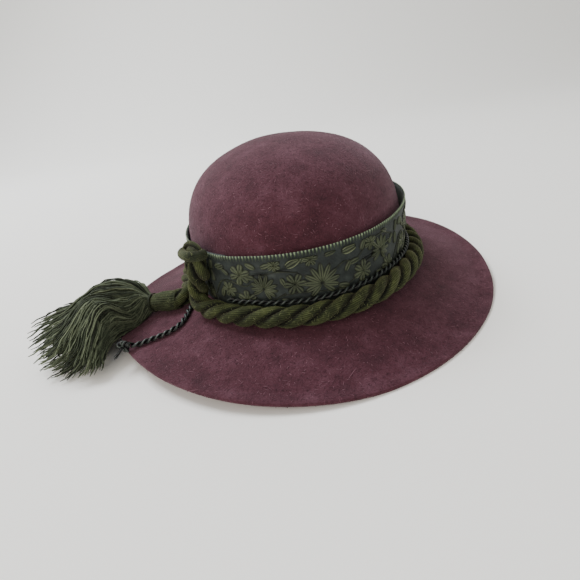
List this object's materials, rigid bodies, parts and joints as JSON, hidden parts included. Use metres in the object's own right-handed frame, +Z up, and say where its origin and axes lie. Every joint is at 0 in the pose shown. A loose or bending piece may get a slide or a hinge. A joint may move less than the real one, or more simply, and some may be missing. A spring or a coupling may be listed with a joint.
{
  "type": "tyrolean hat",
  "caption": "Round-crowned wide-brimmed felt hat with a floral jacquard band, a thick twisted rope that ends in a knot and a full tassel, and a thin cord.",
  "frame": {"origin": "middle of the hat's footprint on the surface it rests on, measured without the thin cord's free end", "axes": "+Z up along the crown's axis, Y along the wearer's front-back line, -X towards the knot and tassel"},
  "size_m": [0.3822, 0.3428, 0.1319],
  "materials": {
    "maroon_felt": "fuzzy wool felt",
    "jacquard_ribbon": "woven jacquard relief",
    "olive_yarn": "wool yarn",
    "dark_olive_yarn": "loose yarn strands",
    "green_black_cord": "two-ply satin cord"
  },
  "bodies": {
    "root": {"felt_body": "maroon_felt", "floral_band": "jacquard_ribbon", "twisted_rope": "olive_yarn", "rope_knot": "olive_yarn", "tassel": "dark_olive_yarn", "tassel_binding": "dark_olive_yarn", "thin_cord": "green_black_cord", "thin_cord_tail": "green_black_cord", "thin_cord_end_knot": "green_black_cord"}
  },
  "joints": []
}
